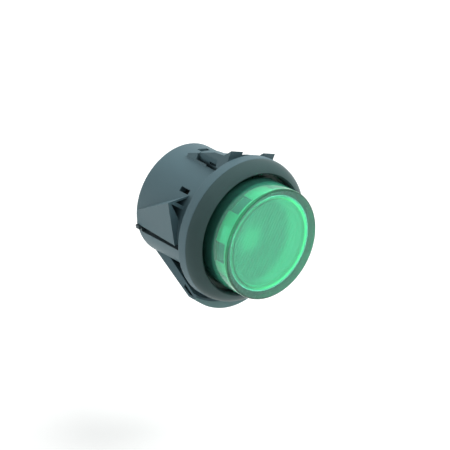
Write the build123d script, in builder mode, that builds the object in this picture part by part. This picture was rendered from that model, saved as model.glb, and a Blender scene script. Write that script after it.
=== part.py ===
from build123d import *
import os
from math import cos, radians, sin, sqrt

os.makedirs("parts", exist_ok=True)

# Panel pilot light, in millimetres. The lens faces -Y and +Z is up. The origin is the centre of
# the flange's rear face, which seats on the panel. Clock angles run from +Z towards +X.

# Housing
body_radius = 11.6
body_length = 17.2
body_wall = 1.7
body_edge = 0.35
neck_rise = 0.7
neck_length = 1.5
flange_radius = 15.0
flange_thickness = 2.3
flange_edge = 0.2
seat_floor = 0.6

# Bezel ring
bezel_height = 2.6
bezel_shoulder = 1.1
bezel_shoulder_depth = 0.6
bezel_inner_edge = 0.35
bezel_gap = 0.9
spigot_width = 0.7
spigot_depth = 1.0
groove_clearance = 0.05

# Lens cap
lens_inset = 3.4
lens_wall = 1.5
lens_front = 1.3
lens_stand_out = 6.0
lens_edge = 0.4
lens_foot = 1.3
foot_clearance = 0.1

# Stack inside the bore
bore_clearance = 0.1
diffuser_wall = 1.2
diffuser_front = 1.2
diffuser_depth = 3.5
diffuser_edge = 0.4
dish_depth = 1.6
dish_lip = 0.5
lip_edge = 0.3
dish_slope = 0.9
skirt_windows = 6
window_clock = -29.0
skirt_window_arc = 24.0
skirt_window_inset = 0.8
skirt_window_depth = 0.6
reflector_lip = 1.2
reflector_lip_width = 0.4
reflector_wall = 0.8
carrier_wall = 0.9
carrier_plate = 1.2
collar_wall = 0.9
collar_length = 2.2
fit_clearance = 0.05
base_thickness = 1.8
base_recess = 2.8
snap_bead = 0.3
snap_bead_length = 0.7

# Lamp, its wires and its series resistor
lamp_radius = 3.0
lamp_gap = 0.9
lamp_tail = 0.8
lamp_dome = 2.0
wire_radius = 0.25
wire_bend = 0.5
wire_spread = 1.0
resistor_radius = 1.2
resistor_length = 5.6
resistor_edge = 0.3
resistor_gap = 0.4
resistor_stand = 2.5
resistor_wire = 1.6
sleeve_wall = 0.3
sleeve_overhang = 0.6
ferrule_length = 0.9
ferrule_wall = 0.25

# Terminals
blade_width = 6.3
blade_thickness = 0.8
blade_stand_out = 8.0
blade_pitch = 10.4
blade_hole_radius = 0.85
blade_hole_inset = 2.6
blade_tip = 0.9
foot_length = 3.4
foot_width = 3.2
rivet_radius = 0.8
rivet_head_radius = 1.35
rivet_head = 0.5
tag_thickness = 0.4
tag_width = 1.6
tag_end = 0.7

# Flared wing at the bottom: a tongue that is free at the flange
tongue_start = 144.0
tongue_arc = 72.0
tongue_heel = 0.3
tongue_knee_rise = 5.15
tongue_knee_y = 2.9
tongue_tip_rise = 5.95
tongue_tip_y = 0.15
tongue_catch = 1.8
tongue_catch_slope = 1.0
tongue_under = 0.9
tongue_root = 4.6
tongue_skin = 0.45
tongue_pocket_y = 5.3
tongue_pocket_arc = 11.0
tongue_crown = 14.05

# Forked wing at the top: a low pad with a barbed finger at each side
fork_centre = 19.7
finger_offset = 4.4
finger_width = 3.2
finger_root_y = 12.5
finger_arm_rise = 1.8
finger_arm_y = 5.2
finger_neck_rise = 2.1
finger_neck_y = 2.5
finger_tip_rise = 3.6
finger_tip_y = 0.8
finger_barb = 1.6
finger_barb_slope = 0.2
finger_gap = 0.7
finger_gap_rear = 6.6
pad_rise = 0.25
pad_arc = 34.0
pad_rear_y = 12.0
pad_front_y = 2.6

# Wedge wings at the two sides
wing_low_z = 2.0
wing_rear_top_z = 1.0
wing_front_y = 4.2
wing_low_rise = 0.75
wing_inset = 1.0
wing_top_z = 7.9
wing_wall = 0.8
wing_top_wall = 0.45
wing_sink = 0.9
wing_pocket_x = 10.9
wing_pocket_z = 2.6
wing_pocket_tail = 0.4
wing_rib = 0.7
wing_rib_x = 8.4
wing_rib_z = 4.2
wing_rib_depth = 5.7

# Slots through the wall
root_slot_angle = 12.8
root_slot_front_y = 12.2
root_slot_length = 1.4
root_slot_width = 2.6
fork_slot_angle = -8.2
fork_slot_front_y = 3.9
fork_slot_length = 5.8
fork_slot_width = 0.85
window_angle = -45.0
window_front_y = 4.7
window_length = 2.6
window_width = 1.05
wing_slit_angle = -104.0
wing_slit_arc = 8.4
wing_slit_bridge = 1.3
nub_angle = -102.2
nub_arc = 4.0
nub_rise = 0.6

# Places that follow from the sizes above
neck_radius = body_radius + neck_rise
flange_front = -flange_thickness
seat_y = -seat_floor
lens_radius = min(body_radius, flange_radius - lens_inset)
lens_inner = lens_radius - lens_wall
inner_radius = min(body_radius - body_wall - bore_clearance, lens_inner - foot_clearance)
bore_radius = inner_radius + bore_clearance
foot_radius = lens_radius + lens_foot
pocket_radius = foot_radius + foot_clearance
bezel_bore = lens_radius + bezel_gap
bezel_front = flange_front - bezel_height
spigot_radius = (pocket_radius + flange_radius) / 2
lens_face = bezel_front - lens_stand_out
lens_inner_face = lens_face + lens_front
dish_face = lens_inner_face + dish_depth
sleeve_front = lens_inner_face + diffuser_depth
sleeve_inner = inner_radius - carrier_wall
lip_radius = sleeve_inner + reflector_lip_width
lip_rear = sleeve_front + reflector_lip
collar_bore = lamp_radius + fit_clearance
collar_radius = collar_bore + collar_wall
cone_mouth = sleeve_inner - fit_clearance
cone_throat = collar_radius + fit_clearance
base_rear = body_length - base_recess
base_front = base_rear - base_thickness
lamp_front = dish_face + diffuser_front + lamp_gap
sleeve_radius = resistor_radius + sleeve_wall
wire_z = resistor_length / 2 + resistor_wire
foot_front = base_front - blade_thickness
tag_front = foot_front - tag_thickness
wire_y = tag_front - resistor_stand
lamp_rear = wire_y - sleeve_radius - resistor_gap
plate_rear = lamp_rear - lamp_tail
plate_front = plate_rear - carrier_plate
blade_x = blade_pitch / 2
blade_inner_x = blade_x - blade_thickness / 2
rivet_x = blade_inner_x - foot_length / 2
blade_rear = base_rear + blade_stand_out
tongue_rear = body_length - tongue_heel
wing_top_x = flange_radius - wing_inset
knee_radius = body_radius + tongue_knee_rise
tip_radius = body_radius + tongue_tip_rise
catch_radius = tip_radius - tongue_catch
under_y = tongue_tip_y + tongue_catch_slope + tongue_under
crown_offset = tip_radius - tongue_crown
wall_middle = (bore_radius + body_radius) / 2
edge_round = min(flange_edge, (flange_radius - neck_radius) / 3)


def radial_plane(turn):
    """Plane through the part's axis at a clock angle: x is the radius there and y is +Y."""
    outward = (sin(radians(turn)), 0, cos(radians(turn)))
    normal = (-cos(radians(turn)), 0, sin(radians(turn)))
    return Plane(origin=(0, 0, 0), x_dir=outward, z_dir=normal)


def wall_plane(turn):
    """Plane square to the radius at a clock angle, inside the bore, with x along +Y."""
    outward = Vector(sin(radians(turn)), 0, cos(radians(turn)))
    return Plane(origin=outward * bore_radius / 2, x_dir=(0, 1, 0), z_dir=outward)


def tongue_outer(place):
    """Radius of the tongue's outer face at a place along the axis."""
    share = (tongue_rear - place) / (tongue_rear - tongue_knee_y)
    return body_radius + tongue_knee_rise * share


def tongue_inner(place):
    """Radius of the tongue's inner face at a place along the axis."""
    share = (tongue_rear - tongue_root - place) / (tongue_rear - tongue_root - under_y)
    return body_radius + (catch_radius - body_radius) * share


def section(place, points):
    """Closed outline across the part at a place along the axis, from points (x, z)."""
    with BuildSketch(Plane.XZ.offset(-place)) as made:
        with BuildLine():
            Polyline(*points, close=True)
        make_face()
    return made.sketch


def side_wing():
    """Wedge with a pocket open towards the flange, and a slanting rib across the pocket."""
    rear_y = body_length - body_edge
    root_x = body_radius - wing_sink
    top_root_x = sqrt(body_radius**2 - wing_top_z**2) - wing_sink
    outer_rear = section(
        rear_y,
        [
            (-body_radius, -wing_low_z),
            (-body_radius, wing_rear_top_z),
            (-root_x, wing_rear_top_z),
            (-root_x, -wing_low_z),
        ],
    )
    outer_front = section(
        wing_front_y,
        [
            (-body_radius - wing_low_rise, -wing_low_z),
            (-wing_top_x, wing_top_z),
            (-top_root_x, wing_top_z),
            (-root_x, -wing_low_z),
        ],
    )
    pocket_rear = section(
        rear_y,
        [
            (-root_x, 0),
            (-root_x + wing_pocket_tail, 0),
            (-root_x + wing_pocket_tail, -wing_pocket_tail),
        ],
    )
    pocket_front = section(
        wing_front_y,
        [
            (-wing_top_x + wing_wall, wing_top_z - wing_top_wall),
            (-top_root_x, wing_top_z - wing_top_wall),
            (-wing_pocket_x, wing_pocket_z),
        ],
    )
    rib_start = Vector(-wing_top_x + wing_wall, wing_top_z)
    rib_end = Vector(-wing_rib_x, wing_rib_z)
    rib_run = rib_end - rib_start
    rib_middle = (rib_start + rib_end) / 2
    rib_turn = -rib_run.get_angle(Vector(1, 0))
    with BuildPart() as made:
        loft([outer_rear, outer_front], ruled=True)
        loft([pocket_rear, pocket_front], ruled=True, mode=Mode.SUBTRACT)
        with BuildPart(mode=Mode.PRIVATE) as whole:
            loft([outer_rear, outer_front], ruled=True)
        with BuildPart(mode=Mode.PRIVATE) as rib:
            with BuildSketch(Plane.XZ.offset(-wing_front_y)):
                with Locations(Location((rib_middle.X, rib_middle.Y), rib_turn)):
                    Rectangle(rib_run.length, wing_rib)
            extrude(amount=-wing_rib_depth)
            add(whole.part, mode=Mode.INTERSECT)
        add(rib.part)
        with BuildSketch(Plane.XY):
            with Locations((wall_middle / 2, body_length / 2)):
                Rectangle(wall_middle, 2 * body_length)
        revolve(axis=Axis.Y, mode=Mode.SUBTRACT)
    return made.part


def bottom_tongue():
    """Flared tongue, crowned across its width, with a pocket in each flank."""
    crown_turn = radians(tongue_start + tongue_arc / 2)
    crown = (crown_offset * sin(crown_turn), crown_offset * cos(crown_turn))
    with BuildPart() as made:
        with BuildSketch(radial_plane(tongue_start)):
            with BuildLine():
                Polyline(
                    (wall_middle, tongue_rear),
                    (body_radius, tongue_rear),
                    (knee_radius, tongue_knee_y),
                    (tip_radius, tongue_tip_y),
                    (catch_radius, tongue_tip_y + tongue_catch_slope),
                    (catch_radius, under_y),
                    (body_radius, tongue_rear - tongue_root),
                    (wall_middle, tongue_rear - tongue_root),
                    close=True,
                )
            make_face()
        revolve(axis=Axis.Y, revolution_arc=tongue_arc)
        with BuildSketch(Plane.XZ):
            with Locations(crown):
                Circle(tongue_crown)
        extrude(amount=-body_length, mode=Mode.INTERSECT)
        for pocket_start in (tongue_start, tongue_start + tongue_arc - tongue_pocket_arc):
            with BuildSketch(radial_plane(pocket_start)):
                with BuildLine():
                    Polyline(
                        (tongue_inner(tongue_pocket_y) + tongue_skin, tongue_pocket_y),
                        (tongue_outer(tongue_pocket_y) - tongue_skin, tongue_pocket_y),
                        (knee_radius - tongue_skin, tongue_knee_y),
                        (knee_radius - tongue_skin, under_y - tongue_skin),
                        (catch_radius + tongue_skin, under_y),
                        close=True,
                    )
                make_face()
            revolve(axis=Axis.Y, revolution_arc=tongue_pocket_arc, mode=Mode.SUBTRACT)
    return made.part


def fork_finger(side):
    """Arm of the fork, square to the fork's middle, with a barb at its tip."""
    middle = radial_plane(fork_centre)
    root_height = sqrt(wall_middle**2 - (finger_offset + finger_width / 2) ** 2)
    with BuildPart() as made:
        with BuildSketch(middle.offset(-side * finger_offset)):
            with BuildLine():
                Polyline(
                    (root_height, finger_root_y),
                    (wall_middle, finger_root_y),
                    (body_radius + finger_arm_rise, finger_arm_y),
                    (body_radius + finger_neck_rise, finger_neck_y),
                    (body_radius + finger_tip_rise, finger_tip_y),
                    (body_radius + finger_tip_rise - finger_barb, finger_tip_y + finger_barb_slope),
                    (root_height, finger_tip_y + finger_barb_slope),
                    close=True,
                )
            make_face()
        extrude(amount=finger_width / 2, both=True)
        with BuildSketch(Plane.XY):
            with Locations((wall_middle / 2, body_length / 2)):
                Rectangle(wall_middle, 2 * body_length)
            with Locations(((body_radius + finger_gap) / 2, finger_gap_rear / 2)):
                Rectangle(body_radius + finger_gap, finger_gap_rear)
        revolve(axis=Axis.Y, mode=Mode.SUBTRACT)
    return made.part


# Housing with its flange and wings, moulded in one piece
with BuildPart() as housing:
    with BuildSketch(Plane.XY):
        with BuildLine():
            FilletPolyline(
                (bore_radius, base_rear),
                (bore_radius - snap_bead, base_rear + snap_bead_length / 2),
                (bore_radius, base_rear + snap_bead_length),
                (bore_radius, body_length),
                (body_radius, body_length),
                (body_radius, neck_length),
                (neck_radius, neck_length),
                (neck_radius, 0),
                (flange_radius, 0),
                (flange_radius, flange_front),
                (pocket_radius, flange_front),
                (pocket_radius, seat_y),
                (bore_radius, seat_y),
                radius=[0, 0, 0, 0, body_edge, 0, 0, 0, edge_round, edge_round, 0, 0, 0],
                close=True,
            )
        make_face()
        with Locations((spigot_radius, flange_front + spigot_depth / 2)):
            Rectangle(
                spigot_width + 2 * groove_clearance,
                spigot_depth + 2 * groove_clearance,
                mode=Mode.SUBTRACT,
            )
    revolve(axis=Axis.Y)
    add(bottom_tongue())
    # Top pad
    with BuildSketch(radial_plane(fork_centre - pad_arc / 2)):
        with BuildLine():
            Polyline(
                (wall_middle, pad_rear_y),
                (body_radius, pad_rear_y),
                (body_radius + pad_rise, pad_rear_y - pad_rise),
                (body_radius + pad_rise, pad_front_y),
                (wall_middle, pad_front_y),
                close=True,
            )
        make_face()
    revolve(axis=Axis.Y, revolution_arc=pad_arc)
    for finger_side in (-1, 1):
        add(fork_finger(finger_side))
    # Side wedges, each over a slit that ends in a nub at the rear
    wedge = side_wing()
    slit_rear = body_length - wing_slit_bridge
    for half_turn in (0, 180):
        add(wedge, rotation=(0, half_turn, 0))
        with BuildSketch(radial_plane(nub_angle - nub_arc / 2 + half_turn)):
            with Locations((body_radius, (slit_rear + body_length - body_edge) / 2)):
                Rectangle(2 * nub_rise, body_length - body_edge - slit_rear)
        revolve(axis=Axis.Y, revolution_arc=nub_arc)
        with BuildSketch(radial_plane(wing_slit_angle - wing_slit_arc / 2 + half_turn)):
            with Locations((body_radius, (wing_front_y + slit_rear) / 2)):
                Rectangle(2 * body_wall + wing_low_rise, slit_rear - wing_front_y)
        revolve(axis=Axis.Y, revolution_arc=wing_slit_arc, mode=Mode.SUBTRACT)
    # Windows: at the fork's root, beside the fork and over the left wedge
    windows = [
        (root_slot_angle, root_slot_front_y, root_slot_length, root_slot_width),
        (fork_slot_angle, fork_slot_front_y, fork_slot_length, fork_slot_width),
        (window_angle, window_front_y, window_length, window_width),
    ]
    for turn, front_y, length, width in windows:
        with BuildSketch(wall_plane(turn)):
            with Locations((front_y + length / 2, 0)):
                Rectangle(length, width)
        extrude(amount=body_radius, mode=Mode.SUBTRACT)

# Domed ring that traps the lens, with a spigot in the flange's groove
with BuildPart() as bezel_ring:
    with BuildSketch(Plane.XY):
        with BuildLine():
            outer_edge = (flange_radius - groove_clearance, flange_front)
            shoulder = (flange_radius - bezel_shoulder, bezel_front + bezel_shoulder_depth)
            inner_edge = (bezel_bore + bezel_inner_edge, bezel_front)
            ThreePointArc(outer_edge, shoulder, inner_edge)
            Line(inner_edge, (bezel_bore, bezel_front + bezel_inner_edge))
            Line((bezel_bore, bezel_front + bezel_inner_edge), (bezel_bore, flange_front))
            Line((bezel_bore, flange_front), outer_edge)
        make_face()
        with Locations((spigot_radius, flange_front)):
            Rectangle(spigot_width, 2 * spigot_depth)
    revolve(axis=Axis.Y)

# Clear cap with a foot flange under the bezel
with BuildPart() as lens_cap:
    with BuildSketch(Plane.XY):
        with BuildLine():
            FilletPolyline(
                (0, lens_face),
                (lens_radius, lens_face),
                (lens_radius, flange_front),
                (foot_radius, flange_front),
                (foot_radius, seat_y),
                (lens_inner, seat_y),
                (lens_inner, lens_inner_face),
                (0, lens_inner_face),
                radius=[0, lens_edge, 0, 0, 0, 0, lens_edge, 0],
                close=True,
            )
        make_face()
    revolve(axis=Axis.Y)

# Dished cap that spreads the light behind the lens, with notches round its skirt
with BuildPart() as diffuser:
    with BuildSketch(Plane.XY):
        with BuildLine():
            FilletPolyline(
                (0, dish_face),
                (inner_radius - dish_lip - dish_slope, dish_face),
                (inner_radius - dish_lip, lens_inner_face),
                (inner_radius, lens_inner_face),
                (inner_radius, sleeve_front),
                (inner_radius - diffuser_wall, sleeve_front),
                (inner_radius - diffuser_wall, dish_face + diffuser_front),
                (0, dish_face + diffuser_front),
                radius=[0, diffuser_edge, 0, lip_edge, 0, 0, 0, 0],
                close=True,
            )
        make_face()
    revolve(axis=Axis.Y)
    window_front = lens_inner_face + skirt_window_inset
    for number in range(skirt_windows):
        window_start = window_clock - skirt_window_arc / 2 + number * 360 / skirt_windows
        with BuildSketch(radial_plane(window_start)):
            with Locations((inner_radius, (window_front + sleeve_front) / 2)):
                Rectangle(2 * skirt_window_depth, sleeve_front - window_front)
        revolve(axis=Axis.Y, revolution_arc=skirt_window_arc, mode=Mode.SUBTRACT)

# Cone that throws the light forwards, with a lip trapped under the diffuser
with BuildPart() as reflector:
    with BuildSketch(Plane.XY):
        with BuildLine():
            Polyline(
                (cone_mouth - reflector_wall, sleeve_front),
                (lip_radius - fit_clearance, sleeve_front),
                (lip_radius - fit_clearance, lip_rear),
                (cone_mouth, lip_rear),
                (cone_throat + reflector_wall, plate_front),
                (cone_throat, plate_front),
                close=True,
            )
        make_face()
    revolve(axis=Axis.Y)

# Black inner sleeve, whose nose stands inside the lens, with a plate and a collar for the lamp
with BuildPart() as lamp_carrier:
    with BuildSketch(Plane.XY):
        with Locations((inner_radius - carrier_wall / 2, (sleeve_front + base_front) / 2)):
            Rectangle(carrier_wall, base_front - sleeve_front)
        with Locations(((collar_bore + inner_radius) / 2, (plate_front + plate_rear) / 2)):
            Rectangle(inner_radius - collar_bore, carrier_plate)
        with Locations((collar_bore + collar_wall / 2, plate_front - collar_length / 2)):
            Rectangle(collar_wall, collar_length)
        with Locations(((sleeve_inner + lip_radius) / 2, (sleeve_front + lip_rear) / 2)):
            Rectangle(lip_radius - sleeve_inner, reflector_lip, mode=Mode.SUBTRACT)
    revolve(axis=Axis.Y)

# Sealed glass lamp
with BuildPart() as neon_lamp:
    with BuildSketch(Plane.XY):
        with BuildLine():
            FilletPolyline(
                (0, lamp_front),
                (lamp_radius, lamp_front),
                (lamp_radius, lamp_rear),
                (0, lamp_rear),
                radius=[0, lamp_dome, lamp_tail / 2, 0],
                close=True,
            )
        make_face()
    revolve(axis=Axis.Y)

# Lamp wire straight to the left tag
with BuildPart() as lamp_lead_left:
    with BuildLine() as left_route:
        FilletPolyline(
            (-wire_spread, lamp_rear, 0),
            (-wire_spread, wire_y, 0),
            (-rivet_x, wire_y + sleeve_radius, wire_z),
            (-rivet_x, tag_front, wire_z),
            radius=wire_bend,
        )
    with BuildSketch(Plane.XZ.offset(-lamp_rear)):
        with Locations((-wire_spread, 0)):
            Circle(wire_radius)
    sweep(path=left_route.line)

# Lamp wire to the ferrule
with BuildPart() as lamp_lead_right:
    with BuildLine() as right_route:
        FilletPolyline(
            (wire_spread, lamp_rear, 0),
            (wire_spread, wire_y, 0),
            (wire_spread, wire_y, wire_z),
            ((wire_spread + rivet_x) / 2, wire_y, wire_z),
            radius=wire_bend,
        )
    with BuildSketch(Plane.XZ.offset(-lamp_rear)):
        with Locations((wire_spread, 0)):
            Circle(wire_radius)
    sweep(path=right_route.line)

# Resistor wire to the ferrule
with BuildPart() as resistor_lead_top:
    with BuildLine() as top_route:
        FilletPolyline(
            (rivet_x, wire_y, resistor_length / 2),
            (rivet_x, wire_y, wire_z),
            ((wire_spread + rivet_x) / 2, wire_y, wire_z),
            radius=wire_bend,
        )
    with BuildSketch(Plane.XY.offset(resistor_length / 2)):
        with Locations((rivet_x, wire_y)):
            Circle(wire_radius)
    sweep(path=top_route.line)

# Resistor wire to the right tag
with BuildPart() as resistor_lead_bottom:
    with BuildLine() as bottom_route:
        FilletPolyline(
            (rivet_x, wire_y, -resistor_length / 2),
            (rivet_x, wire_y, -wire_z),
            (rivet_x, tag_front, -wire_z),
            radius=wire_bend,
        )
    with BuildSketch(Plane.XY.offset(-resistor_length / 2)):
        with Locations((rivet_x, wire_y)):
            Circle(wire_radius)
    sweep(path=bottom_route.line)

# Crimp round the two wires' ends
with BuildPart() as wire_ferrule:
    with BuildSketch(Plane.YZ.offset((wire_spread + rivet_x - ferrule_length) / 2)):
        with Locations((wire_y, wire_z)):
            Circle(wire_radius + ferrule_wall)
            Circle(wire_radius, mode=Mode.SUBTRACT)
    extrude(amount=ferrule_length)

# Series resistor along Z
with BuildPart() as resistor:
    with Locations((rivet_x, wire_y, 0)):
        Cylinder(resistor_radius, resistor_length)
    fillet(resistor.edges().filter_by(GeomType.CIRCLE), resistor_edge)

# Sleeve on the resistor
with BuildPart() as resistor_sleeve:
    with BuildSketch(Plane.XY.offset(-resistor_length / 2 - sleeve_overhang)):
        with Locations((rivet_x, wire_y)):
            Circle(sleeve_radius)
            Circle(resistor_radius, mode=Mode.SUBTRACT)
    extrude(amount=resistor_length + 2 * sleeve_overhang)

# Plate that closes the housing, with slots for the blades and holes for the rivets
with BuildPart() as rear_base:
    with BuildSketch(Plane.XZ.offset(-base_front)):
        Circle(inner_radius)
    extrude(amount=-base_thickness)
    with BuildSketch(Plane.XZ.offset(-base_front)):
        with Locations((-blade_x, 0), (blade_x, 0)):
            Rectangle(blade_thickness + 2 * fit_clearance, blade_width + 2 * fit_clearance)
        with Locations((-rivet_x, 0), (rivet_x, 0)):
            Circle(rivet_radius)
    extrude(amount=-base_thickness, mode=Mode.SUBTRACT)


def terminal_blade(side):
    """Push-on blade that stands out of the base, with a foot turned in over the rivet."""
    with BuildPart() as made:
        with BuildSketch(Plane.YZ.offset(side * blade_x - blade_thickness / 2)):
            with BuildLine():
                Polyline(
                    (foot_front, -blade_width / 2),
                    (blade_rear - blade_tip, -blade_width / 2),
                    (blade_rear, -blade_width / 2 + blade_tip),
                    (blade_rear, blade_width / 2 - blade_tip),
                    (blade_rear - blade_tip, blade_width / 2),
                    (foot_front, blade_width / 2),
                    close=True,
                )
            make_face()
            with Locations((blade_rear - blade_hole_inset, 0)):
                Circle(blade_hole_radius, mode=Mode.SUBTRACT)
        extrude(amount=blade_thickness)
        with BuildSketch(Plane.XZ.offset(-foot_front)):
            with Locations((side * (blade_inner_x - foot_length / 2), 0)):
                Rectangle(foot_length, foot_width)
            with Locations((side * rivet_x, 0)):
                Circle(rivet_radius, mode=Mode.SUBTRACT)
        extrude(amount=-blade_thickness)
    return made.part


def terminal_rivet(side):
    """Rivet through the tag, the blade's foot and the base, headed at both ends."""
    with BuildPart() as made:
        with BuildSketch(Plane.XZ.offset(-tag_front + rivet_head)):
            with Locations((side * rivet_x, 0)):
                Circle(rivet_radius)
        extrude(amount=tag_front - base_rear - 2 * rivet_head)
        for head_front in (tag_front - rivet_head, base_rear):
            with BuildSketch(Plane.XZ.offset(-head_front)):
                with Locations((side * rivet_x, 0)):
                    Circle(rivet_head_radius)
            extrude(amount=-rivet_head)
    return made.part


def solder_tag(side):
    """Flat tag under the rivet's head, with a tail out to its wire."""
    reach = wire_z + tag_end
    with BuildPart() as made:
        with BuildSketch(Plane.XZ.offset(-tag_front)):
            with Locations((side * rivet_x, 0)):
                Circle(foot_width / 2)
            with Locations((side * rivet_x, -side * reach / 2)):
                Rectangle(tag_width, reach)
            with Locations((side * rivet_x, 0)):
                Circle(rivet_radius, mode=Mode.SUBTRACT)
        extrude(amount=-tag_thickness)
    return made.part


# The two terminals: -1 is the left one and 1 is the right one
with BuildPart() as blade_left:
    add(terminal_blade(-1))
with BuildPart() as blade_right:
    add(terminal_blade(1))
with BuildPart() as rivet_left:
    add(terminal_rivet(-1))
with BuildPart() as rivet_right:
    add(terminal_rivet(1))
with BuildPart() as tag_left:
    add(solder_tag(-1))
with BuildPart() as tag_right:
    add(solder_tag(1))

pieces = {
    "housing": housing,
    "bezel_ring": bezel_ring,
    "lens_cap": lens_cap,
    "diffuser": diffuser,
    "reflector": reflector,
    "lamp_carrier": lamp_carrier,
    "neon_lamp": neon_lamp,
    "lamp_lead_left": lamp_lead_left,
    "lamp_lead_right": lamp_lead_right,
    "wire_ferrule": wire_ferrule,
    "resistor": resistor,
    "resistor_sleeve": resistor_sleeve,
    "resistor_lead_top": resistor_lead_top,
    "resistor_lead_bottom": resistor_lead_bottom,
    "tag_left": tag_left,
    "tag_right": tag_right,
    "blade_left": blade_left,
    "blade_right": blade_right,
    "rivet_left": rivet_left,
    "rivet_right": rivet_right,
    "rear_base": rear_base,
}
for name, piece in pieces.items():
    piece.part.label = name
    export_step(piece.part, f"parts/{name}.step")
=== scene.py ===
import math

import bpy
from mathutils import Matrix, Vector


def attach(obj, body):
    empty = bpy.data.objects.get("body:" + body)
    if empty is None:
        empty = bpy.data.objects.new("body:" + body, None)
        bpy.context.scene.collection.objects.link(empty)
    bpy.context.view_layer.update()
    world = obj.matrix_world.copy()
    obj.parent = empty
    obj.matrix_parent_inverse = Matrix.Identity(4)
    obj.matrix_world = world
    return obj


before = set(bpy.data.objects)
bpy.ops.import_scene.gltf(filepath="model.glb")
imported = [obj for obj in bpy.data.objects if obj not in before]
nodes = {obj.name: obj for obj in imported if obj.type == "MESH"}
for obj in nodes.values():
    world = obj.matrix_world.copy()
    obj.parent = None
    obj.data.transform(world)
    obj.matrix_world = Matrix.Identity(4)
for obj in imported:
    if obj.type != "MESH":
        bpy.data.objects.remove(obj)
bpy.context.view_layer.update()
scene = bpy.context.scene


# The camera looks down on the lamp from its front left, from so far off that the rings keep
# their proportions. The middle of the panel face stands a little right of the picture's middle.
camera_turn = math.radians(-40)
camera_height = math.radians(26)
camera_distance = 1.2
pixels_per_metre = 5045
picture_width = 450
sensor_width = 36
pixels_right = 11.1
pixels_down = 1.2

backward = Vector((
    math.sin(camera_turn) * math.cos(camera_height),
    -math.cos(camera_turn) * math.cos(camera_height),
    math.sin(camera_height),
))
rightward = Vector((math.cos(camera_turn), math.sin(camera_turn), 0))
upward = backward.cross(rightward)
aim = (upward * pixels_down - rightward * pixels_right) / pixels_per_metre

camera = bpy.data.objects.new("camera", bpy.data.cameras.new("camera"))
scene.collection.objects.link(camera)
camera.data.sensor_width = sensor_width
camera.data.lens = sensor_width * pixels_per_metre * camera_distance / picture_width
camera.location = aim + backward * camera_distance
camera.rotation_euler = backward.to_track_quat("Z", "Y").to_euler()
scene.camera = camera
scene.view_settings.view_transform = "Standard"


# Housing: one moulding of black glass-filled nylon, with the flange that seats on the panel and
# the spring wings that grip it from behind. Its skin is satin and finely grained from the mould,
# with faint flow marks and slightly polished edges.
class Value:
    """A socket in a node tree. Arithmetic on it adds the Math nodes that work it out."""

    def __init__(self, tree, output):
        self.tree = tree
        self.output = output

    def math(self, operation, first, second):
        return self.tree.node("ShaderNodeMath", {"operation": operation}, {0: first, 1: second})

    def __add__(self, other):
        return self.math("ADD", self, other)

    def __radd__(self, other):
        return self.math("ADD", other, self)

    def __sub__(self, other):
        return self.math("SUBTRACT", self, other)

    def __rsub__(self, other):
        return self.math("SUBTRACT", other, self)

    def __mul__(self, other):
        return self.math("MULTIPLY", self, other)

    def __rmul__(self, other):
        return self.math("MULTIPLY", other, self)

    def __truediv__(self, other):
        return self.math("DIVIDE", self, other)

    def __pow__(self, other):
        return self.math("POWER", self, other)

    def __gt__(self, other):
        return self.math("GREATER_THAN", self, other)

    def __lt__(self, other):
        return self.math("LESS_THAN", self, other)


class Tree:
    """A node tree with one way of adding a node."""

    def __init__(self, tree):
        self.tree = tree

    def node(self, kind, settings, sockets, take=0):
        """Adds a node, makes its settings, fills its sockets and returns one of its outputs."""
        made = self.tree.nodes.new(kind)
        for setting, value in settings.items():
            setattr(made, setting, value)
        for socket, value in sockets.items():
            if isinstance(value, Value):
                self.tree.links.new(value.output, made.inputs[socket])
            else:
                made.inputs[socket].default_value = value
        return Value(self, made.outputs[take])


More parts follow.
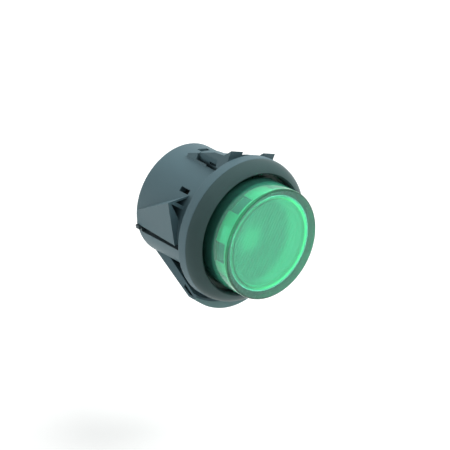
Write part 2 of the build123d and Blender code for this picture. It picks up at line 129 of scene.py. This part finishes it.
class Finish(Tree):
    """A surface finish: a material with one Principled shader and the nodes that vary it."""

    def __init__(self, name, **uniform):
        self.material = bpy.data.materials.new(name)
        self.material.use_nodes = True
        super().__init__(self.material.node_tree)
        self.shader = self.tree.nodes["Principled BSDF"]
        for socket, value in uniform.items():
            self.shader.inputs[socket.replace("_", " ")].default_value = value

    def place(self):
        """Object coordinates in metres."""
        return self.node("ShaderNodeTexCoord", {}, {}, "Object")

    def along(self, axis):
        """One of the object coordinates, named by its letter."""
        return self.node("ShaderNodeSeparateXYZ", {}, {0: self.place()}, axis)

    def rise(self, value, start, end):
        """0 below the start, 1 above the end, and a smooth rise between."""
        sockets = {"Value": value, "From Min": start, "From Max": end}
        return self.node("ShaderNodeMapRange", {"interpolation_type": "SMOOTHSTEP"}, sockets)

    def from_axis(self, right=0.0, up=0.0):
        """Distance from a line along Y, which is the lamp's axis unless moved right or up."""
        across, height = self.along("X") - right, self.along("Z") - up
        return (across * across + height * height) ** 0.5

    def noise(self, size, detail=3.0, stretch=(1, 1, 1), where=None):
        """Noise from 0 to 1 whose patches are about size metres across, stretched along axes."""
        vector = self.node(
            "ShaderNodeVectorMath",
            {"operation": "DIVIDE"},
            {0: where or self.place(), 1: stretch},
        )
        sockets = {"Vector": vector, "Scale": 1 / size, "Detail": detail}
        return self.node("ShaderNodeTexNoise", {}, sockets)

    def blend(self, factor, first, second):
        """The colour between two colours."""
        colours = [tone if isinstance(tone, Value) else (*tone, 1) for tone in (first, second)]
        sockets = {0: factor, 6: colours[0], 7: colours[1]}
        return self.node("ShaderNodeMix", {"data_type": "RGBA"}, sockets, 2)

    def rounded(self, radius):
        """The normal with the corners rounded off to a radius in metres."""
        return self.node("ShaderNodeBevel", {"samples": 4}, {"Radius": radius})

    def edges(self, rounded, gain):
        """1 along the corners that a rounded normal turns over, and 0 on the flats."""
        flat = self.node("ShaderNodeNewGeometry", {}, {}, "Normal")
        facing = self.node(
            "ShaderNodeVectorMath",
            {"operation": "DOT_PRODUCT"},
            {0: rounded, 1: flat},
            "Value",
        )
        return self.node(
            "ShaderNodeMath",
            {"operation": "MULTIPLY", "use_clamp": True},
            {0: 1 - facing, 1: gain},
        )

    def bump(self, height, depth, under=None):
        """The normal of a surface that rises by depth metres where the height is 1."""
        sockets = {"Strength": 1.0, "Distance": depth, "Height": height}
        if under:
            sockets["Normal"] = under
        return self.node("ShaderNodeBump", {}, sockets)

    def feed(self, **values):
        """Links values to the shader's sockets."""
        for socket, value in values.items():
            self.tree.links.new(value.output, self.shader.inputs[socket.replace("_", " ")])

    def coat(self, *pieces):
        """Gives pieces this finish alone."""
        for piece in pieces:
            piece.data.materials.clear()
            piece.data.materials.append(self.material)


nylon_dark = (0.066, 0.126, 0.148)
nylon_pale = (0.09, 0.162, 0.186)
nylon_polished = (0.13, 0.21, 0.23)
nylon_corner = 0.00014
nylon_grain = 0.00022
grain_depth = 0.000009

nylon = Finish("black nylon", Specular_IOR_Level=0.5)
nylon_flow = nylon.noise(0.005, 4, stretch=(1, 2.5, 1))
nylon_rounded = nylon.rounded(nylon_corner)
nylon_wear = nylon.edges(nylon_rounded, 1.6)
nylon_tone = nylon.blend(nylon_flow, nylon_dark, nylon_pale)
nylon_worn = nylon.blend(nylon_wear, nylon_tone, nylon_polished)

# Painted light: the tip of the tongue below is painted pale, standing in for light from the floor
# falling on it.
tip_radius = 0.0149
tip_fade = 0.0005
tip_height = -0.01
tip_rear = 0.0009
tip_light_tone = (0.3, 0.5, 0.49)
at_tip = (nylon.along("Z") < tip_height) * (nylon.along("Y") < tip_rear)
painted_tip_light = nylon.rise(nylon.from_axis(), tip_radius, tip_radius + tip_fade) * at_tip
nylon_tip_lit = nylon.blend(painted_tip_light * (0.5 + nylon_flow * 0.5), nylon_worn, tip_light_tone)

# Painted shade: the walls of the slit beside the left wing are painted darker than the skin, as
# the slit's shade.
slit_turn = math.radians(-104)
slit_half = math.radians(4.2)
slit_front = 0.0042
slit_fade = 0.0003
slit_shade_tone = (0.02, 0.035, 0.04)
slit_clock = nylon.node(
    "ShaderNodeMath", {"operation": "ARCTAN2"}, {0: nylon.along("X"), 1: nylon.along("Z")}
)
slit_offset = nylon.node("ShaderNodeMath", {"operation": "ABSOLUTE"}, {0: slit_clock - slit_turn})
slit_beside = 1 - nylon.rise(slit_offset, slit_half, slit_half * 1.1)
slit_along = nylon.rise(nylon.along("Y"), slit_front - slit_fade, slit_front + slit_fade)
slit_shade = slit_beside * slit_along * 0.8
# The base colour carries the painted light on the tongue's tip and the painted shade in the slit.
nylon.feed(
    Base_Color=nylon.blend(slit_shade, nylon_tip_lit, slit_shade_tone),
    Roughness=0.46 + nylon_flow * 0.16 - nylon_wear * 0.1,
    Normal=nylon.bump(nylon.noise(nylon_grain, 2), grain_depth, nylon_rounded),
)
nylon.coat(nodes["housing"])


# Bezel ring: moulded black acetal, seated on the flange's front and pressed home by its spigot.
# It is darker and glossier than the housing, with faint rings left by the polished mould.
acetal_dark = (0.042, 0.08, 0.08)
acetal_pale = (0.058, 0.1, 0.1)
acetal_corner = 0.00012
ring_depth = 0.000002

acetal = Finish("black acetal", Specular_IOR_Level=0.16)
acetal_haze = acetal.noise(0.004, 4)
acetal_rings = acetal.node(
    "ShaderNodeTexWave",
    {"wave_type": "RINGS", "rings_direction": "Y"},
    {"Vector": acetal.place(), "Scale": 900.0, "Distortion": 1.5, "Detail": 2.0},
    1,
)
acetal.feed(
    Base_Color=acetal.blend(acetal_haze, acetal_dark, acetal_pale),
    Roughness=0.34 + acetal_haze * 0.18,
    Normal=acetal.bump(acetal_rings, ring_depth, acetal.rounded(acetal_corner)),
)
acetal.coat(nodes["bezel_ring"])


# Lens cap: clear green polycarbonate, polished in the mould. Its foot flange is held down by the
# bezel ring. The green is in the plastic. Painted shade deepens it along the front outer edge,
# where the wall is seen edge-on, and darkens the wall towards the foot, where the dark sleeve
# lies behind.
edge_radius = 0.01125
edge_front = -0.0104
neck_front = -0.0063
neck_fade = 0.0003
foot_front = -0.0024
foot_haze = 0.4
wall_green = (0.17, 0.93, 0.62)
# Painted shade: the darker greens for the lens's neck and front edge.
neck_shade_green = (0.08, 0.33, 0.26)
edge_shade_green = (0.05, 0.34, 0.2)

lens = Finish("clear green lens", IOR=1.5, Transmission_Weight=0.8)
# Painted shade: a deeper green along the front outer edge and a darker wall towards the foot.
lens_edge_shade = (lens.from_axis() > edge_radius) * (lens.along("Y") < edge_front)
lens_neck_shade = lens.rise(lens.along("Y"), neck_front - neck_fade, neck_front + neck_fade)
lens_wall_shaded = lens.blend(lens_neck_shade, wall_green, neck_shade_green)
lens_foot = lens.along("Y") > foot_front
lens.feed(
    Base_Color=lens.blend(lens_edge_shade, lens_wall_shaded, edge_shade_green),
    Roughness=0.02 + lens.noise(0.002, 3) * 0.05 + lens_foot * foot_haze,
)
lens.coat(nodes["lens_cap"])


# Diffuser: a dished cap of milky green polycarbonate behind the lens, with six notches round its
# skirt. Its face carries fine moulded ribs that spread the lamp's light. Painted light: a faint
# emission where the lens gathers light on it, at a spot on the near side and round the far side.
# Painted shade: the notch floors are painted dark, and the near side of the rim darker green.
rib_sizes = {
    "Reach": 0.0079,
    "Pitch": 0.0007,
    "Rib radius": 0.00012,
    "Turn": math.radians(34),
    "Face place": -0.008,
}
rib_sides = 10

milk_deep = (0.42, 0.84, 0.56)
milk_pale = (0.66, 1.0, 0.8)
# Painted shade: the darker rim green and the dark notch tone.
rim_shade_green = (0.22, 0.5, 0.34)
notch_shade_tone = (0.1, 0.06, 0.14)
# Painted light: the green of the painted glow.
painted_glow_green = (0.24, 1.0, 0.5)
no_glow = (0, 0, 0)
streak_depth = 0.00001
notch_floor = 0.0096
notch_front = -0.0089
dish_radius = 0.0089
dish_front = -0.0075
rim_front = -0.0094
far_centre = (-0.0035, 0.0013)
far_start = 0.0082
far_end = 0.0122
spot_centre = (-0.0036, 0.0016)
spot_core = 0.0004
spot_end = 0.0042

milk = Finish(
    "milky green diffuser",
    Roughness=0.42,
    Specular_IOR_Level=0.4,
    Emission_Strength=0.5,
)
milk_cloud = milk.noise(0.003, 2)
milk_turned = milk.node(
    "ShaderNodeMapping", {}, {"Vector": milk.place(), "Rotation": (0, -rib_sizes["Turn"], 0)}
)
milk_streaks = milk.noise(0.0006, 1, stretch=(1, 12, 9), where=milk_turned)
milk_mottle = milk_cloud * 0.6 + milk_streaks * 0.5 - 0.05
# Painted shade: the notch floors are painted dark.
milk_notch_shade = (milk.from_axis() < notch_floor) * (milk.along("Y") > notch_front)
# Painted light: the far side and the near spot where the lens gathers light.
milk_far_side = milk.rise(milk.from_axis(*far_centre), far_start, far_end)
milk_near_spot = 1 - milk.rise(milk.from_axis(*spot_centre), spot_core, spot_end)
milk_dish = (milk.from_axis() < dish_radius) * (milk.along("Y") < dish_front)
milk_rim = (milk.from_axis() > dish_radius) * (milk.along("Y") < rim_front)
milk_gather = 0.16 + milk_near_spot * 0.6 + milk_streaks * 0.5
milk_painted_glow = milk_dish * milk_gather + (milk_dish + milk_rim) * milk_far_side
milk_tone = milk.blend(milk_mottle, milk_deep, milk_pale)
# Painted shade: the near side of the rim is painted darker green, the lit far side is not.
milk_rim_shaded = milk.blend(milk_rim * (1 - milk_far_side), milk_tone, rim_shade_green)
milk.feed(
    Base_Color=milk.blend(milk_notch_shade, milk_rim_shaded, notch_shade_tone),
    Emission_Color=milk.blend(milk_painted_glow, no_glow, painted_glow_green),
    Normal=milk.bump(milk_streaks, streak_depth),
)
milk.coat(nodes["diffuser"])

rib_tree = Tree(bpy.data.node_groups.new("face ribs", "GeometryNodeTree"))
rib_group = rib_tree.tree.interface
rib_group.new_socket("Geometry", in_out="OUTPUT", socket_type="NodeSocketGeometry")
rib_sockets = {
    size: rib_group.new_socket(size, in_out="INPUT", socket_type="NodeSocketFloat").identifier
    for size in rib_sizes
}
reach, pitch, rib_radius, rib_turn, face_place = [
    rib_tree.node("NodeGroupInput", {}, {}, size) for size in rib_sizes
]
rib_line = rib_tree.node(
    "GeometryNodeMeshLine",
    {"mode": "OFFSET"},
    {
        "Count": rib_tree.node("ShaderNodeMath", {"operation": "FLOOR"}, {0: reach * 2 / pitch}),
        "Start Location": rib_tree.node("ShaderNodeCombineXYZ", {}, {0: pitch * 0.5 - reach}),
        "Offset": rib_tree.node("ShaderNodeCombineXYZ", {}, {0: pitch}),
    },
)
rib_across = rib_tree.node(
    "ShaderNodeSeparateXYZ", {}, {0: rib_tree.node("GeometryNodeInputPosition", {}, {})}
)
rib_chord = 2 * (reach * reach - rib_across * rib_across) ** 0.5
rib_bars = rib_tree.node(
    "GeometryNodeInstanceOnPoints",
    {},
    {
        "Points": rib_line,
        "Instance": rib_tree.node(
            "GeometryNodeMeshCylinder",
            {"fill_type": "TRIANGLE_FAN"},
            {"Vertices": rib_sides, "Radius": rib_radius, "Depth": 1.0},
        ),
        "Scale": rib_tree.node("ShaderNodeCombineXYZ", {}, {0: 1.0, 1: 1.0, 2: rib_chord}),
    },
)
rib_turned = rib_tree.node(
    "GeometryNodeTransform",
    {},
    {
        "Geometry": rib_bars,
        "Translation": rib_tree.node("ShaderNodeCombineXYZ", {}, {1: face_place}),
        "Rotation": rib_tree.node("ShaderNodeCombineXYZ", {}, {1: rib_turn}),
    },
)
rib_mesh = rib_tree.node("GeometryNodeRealizeInstances", {}, {0: rib_turned})
rib_coated = rib_tree.node(
    "GeometryNodeSetMaterial", {}, {"Geometry": rib_mesh, "Material": milk.material}
)
rib_end = rib_tree.tree.nodes.new("NodeGroupOutput")
rib_tree.tree.links.new(rib_coated.output, rib_end.inputs[0])

ribs = bpy.data.objects.new("diffuser_ribs", bpy.data.meshes.new("diffuser_ribs"))
scene.collection.objects.link(ribs)
rib_maker = ribs.modifiers.new("ribs", "NODES")
rib_maker.node_group = rib_tree.tree
for size, value in rib_sizes.items():
    rib_maker[rib_sockets[size]] = value
rib_shape = ribs.evaluated_get(bpy.context.evaluated_depsgraph_get())
rib_result = bpy.data.meshes.new_from_object(rib_shape)
ribs.modifiers.clear()
ribs.data = rib_result
ribs.data.shade_smooth()
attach(ribs, "root")


# Reflector: a white moulded cone round the lamp, trapped by its lip between the black sleeve and
# the diffuser.
white_dull = (0.76, 0.78, 0.75)
white_clean = (0.86, 0.87, 0.84)

white = Finish("white reflector", Roughness=0.35)
white.feed(Base_Color=white.blend(white.noise(0.004), white_dull, white_clean))
white.coat(nodes["reflector"])


# Lamp carrier: a black moulded sleeve whose nose stands inside the lens and shows dark through
# its wall. Its plate and collar hold the lamp.
carrier_dark = (0.012, 0.016, 0.016)
carrier_pale = (0.022, 0.028, 0.028)

carrier = Finish("black carrier", Specular_IOR_Level=0.3)
carrier_flow = carrier.noise(0.003, 4)
carrier.feed(
    Base_Color=carrier.blend(carrier_flow, carrier_dark, carrier_pale),
    Roughness=0.45 + carrier_flow * 0.15,
)
carrier.coat(nodes["lamp_carrier"])


# Neon lamp: a sealed bulb of clear glass with a domed front. It is pushed into the carrier's
# collar, which holds it.
glass_tint = (0.93, 0.95, 0.94, 1)

glass = Finish("lamp glass", Base_Color=glass_tint, IOR=1.5, Transmission_Weight=0.85)
glass.feed(Roughness=0.03 + glass.noise(0.002) * 0.06)
glass.coat(nodes["neon_lamp"])


# Wires and their crimp: tinned copper, dull and a little uneven where it was drawn and dipped.
# They end at the tags, and the crimp joins the lamp's right wire to the resistor's.
tin_dull = (0.56, 0.56, 0.55)
tin_bright = (0.78, 0.78, 0.77)
tin_depth = 0.00001

tin = Finish("tinned copper", Metallic=1.0)
tin_cloud = tin.noise(0.0006, 4)
tin.feed(
    Base_Color=tin.blend(tin_cloud, tin_dull, tin_bright),
    Roughness=0.28 + tin_cloud * 0.2,
    Normal=tin.bump(tin_cloud, tin_depth),
)
wires = [
    "lamp_lead_left",
    "lamp_lead_right",
    "resistor_lead_top",
    "resistor_lead_bottom",
    "wire_ferrule",
]
tin.coat(*(nodes[name] for name in wires))


# Resistor: a lacquered carbon film resistor with four colour bands, in a length of clear sleeving
# that keeps it off the terminals.
tan_lacquer = (0.62, 0.47, 0.3)
brown_band = (0.35, 0.12, 0.05)
black_band = (0.02, 0.02, 0.02)
yellow_band = (0.75, 0.5, 0.03)
gold_band = (0.6, 0.42, 0.1)
bands = [
    (-0.0018, brown_band),
    (-0.0007, black_band),
    (0.0004, yellow_band),
    (0.0018, gold_band),
]
band_width = 0.0005

lacquer = Finish("resistor lacquer", Roughness=0.35)
resistor_height = lacquer.along("Z")
lacquer_tone = tan_lacquer
for band_place, band_colour in bands:
    above = resistor_height > band_place - band_width / 2
    below = resistor_height < band_place + band_width / 2
    lacquer_tone = lacquer.blend(above * below, lacquer_tone, band_colour)
lacquer.feed(Base_Color=lacquer_tone)
lacquer.coat(nodes["resistor"])

sleeving_tint = (0.86, 0.86, 0.82, 1)

sleeving = Finish("clear sleeving", Base_Color=sleeving_tint, IOR=1.45, Transmission_Weight=0.8)
sleeving.feed(Roughness=0.2 + sleeving.noise(0.001) * 0.15)
sleeving.coat(nodes["resistor_sleeve"])


# Terminals: push-on blades and solder tags stamped from tin-plated brass. The plating has the
# strip's fine rolling lines, and the sheared edges show a little of the brass.
plate_dull = (0.56, 0.55, 0.52)
plate_bright = (0.74, 0.73, 0.7)
sheared_brass = (0.72, 0.62, 0.42)
plate_corner = 0.00009
line_depth = 0.000004

plate = Finish("tin plate", Metallic=1.0)
plate_lines = plate.noise(0.00012, 3, stretch=(1, 30, 1))
plate_cloud = plate.noise(0.0016, 4)
plate_rounded = plate.rounded(plate_corner)
plate_wear = plate.edges(plate_rounded, 2.2)
plate_tone = plate.blend(plate_cloud, plate_dull, plate_bright)
plate.feed(
    Base_Color=plate.blend(plate_wear, plate_tone, sheared_brass),
    Roughness=0.26 + plate_cloud * 0.16 + plate_lines * 0.08,
    Normal=plate.bump(plate_lines, line_depth, plate_rounded),
)
plate.coat(*(nodes[name] for name in ("blade_left", "blade_right", "tag_left", "tag_right")))


# Rivets: brass, one through each blade, its tag and the base. A press has headed them over, which
# leaves faint marks on the heads.
brass_dull = (0.55, 0.4, 0.16)
brass_bright = (0.78, 0.6, 0.28)
brass_corner = 0.00015
mark_depth = 0.00002

brass = Finish("rivet brass", Metallic=1.0)
brass_marks = brass.noise(0.0004, 3)
brass.feed(
    Base_Color=brass.blend(brass_marks, brass_dull, brass_bright),
    Roughness=0.3 + brass_marks * 0.22,
    Normal=brass.bump(brass_marks, mark_depth, brass.rounded(brass_corner)),
)
brass.coat(nodes["rivet_left"], nodes["rivet_right"])


# Rear base: a black insulating disc of moulded phenolic, pressed in behind the snap bead. It
# closes the housing and carries the terminals.
phenolic_dark = (0.03, 0.042, 0.046)
phenolic_pale = (0.045, 0.06, 0.065)
phenolic_corner = 0.0001
phenolic_grain = 0.0003
pit_depth = 0.00001

phenolic = Finish("black base", Specular_IOR_Level=0.3)
phenolic_flow = phenolic.noise(0.0025, 4)
phenolic_pits = phenolic.noise(phenolic_grain, 2)
phenolic.feed(
    Base_Color=phenolic.blend(phenolic_flow, phenolic_dark, phenolic_pale),
    Roughness=0.5 + phenolic_flow * 0.15,
    Normal=phenolic.bump(phenolic_pits, pit_depth, phenolic.rounded(phenolic_corner)),
)
phenolic.coat(nodes["rear_base"])


# The floor: a wide pale sheet below the lamp. The camera, and whatever mirrors or shows what lies
# behind it, sees it white except where the lamp shades it.
floor_level = -0.045
floor_reach = 1.5
floor_glow = 0.5
floor_grey = (0.72, 0.74, 0.73, 1)
white_light = (1, 1, 1, 1)
corners = [(-1, -1), (1, -1), (1, 1), (-1, 1)]
floor_mesh = bpy.data.meshes.new("floor")
floor_mesh.from_pydata(
    [(x * floor_reach, y * floor_reach, floor_level) for x, y in corners], [], [(0, 1, 2, 3)]
)
floor = bpy.data.objects.new("floor", floor_mesh)
scene.collection.objects.link(floor)


def seen_directly(tree):
    """1 for what the camera sees, itself or in a gloss or through something clear, else 0."""
    kinds = ["Is Camera Ray", "Is Glossy Ray", "Is Transmission Ray"]
    camera_ray, glossy_ray, clear_ray = [
        tree.node("ShaderNodeLightPath", {}, {}, kind) for kind in kinds
    ]
    return tree.node(
        "ShaderNodeMath",
        {"operation": "ADD", "use_clamp": True},
        {0: camera_ray, 1: glossy_ray + clear_ray},
    )


paper = Finish(
    "floor paper",
    Base_Color=floor_grey,
    Roughness=0.9,
    Specular_IOR_Level=0.1,
    Emission_Color=white_light,
)
paper.feed(Emission_Strength=seen_directly(paper) * floor_glow)
paper.coat(floor)


# The studio: a broad soft lamp above on the right, a weaker one behind on the left, and a white
# room, which lights the lamp at a plain level and is seen as pure white.
room_light = 0.3
lamps = {
    "key": ((0.3, -0.16, 0.5), 0.45, 4.4),
    "side": ((-0.5, 0.42, 0.02), 0.45, 2.05),
}
for name, (lamp_place, size, power) in lamps.items():
    light = bpy.data.lights.new(name, "AREA")
    light.size = size
    light.energy = power
    lamp = bpy.data.objects.new(name, light)
    scene.collection.objects.link(lamp)
    lamp.location = lamp_place
    lamp.rotation_euler = Vector(lamp_place).to_track_quat("Z", "Y").to_euler()
    lamp.visible_glossy = False

room = bpy.data.worlds.new("room")
scene.world = room
room.use_nodes = True
room_tree = Tree(room.node_tree)
background = room.node_tree.nodes["Background"]
background.inputs["Color"].default_value = white_light
room_level = room_light + seen_directly(room_tree) * (1 - room_light)
room.node_tree.links.new(room_level.output, background.inputs["Strength"])
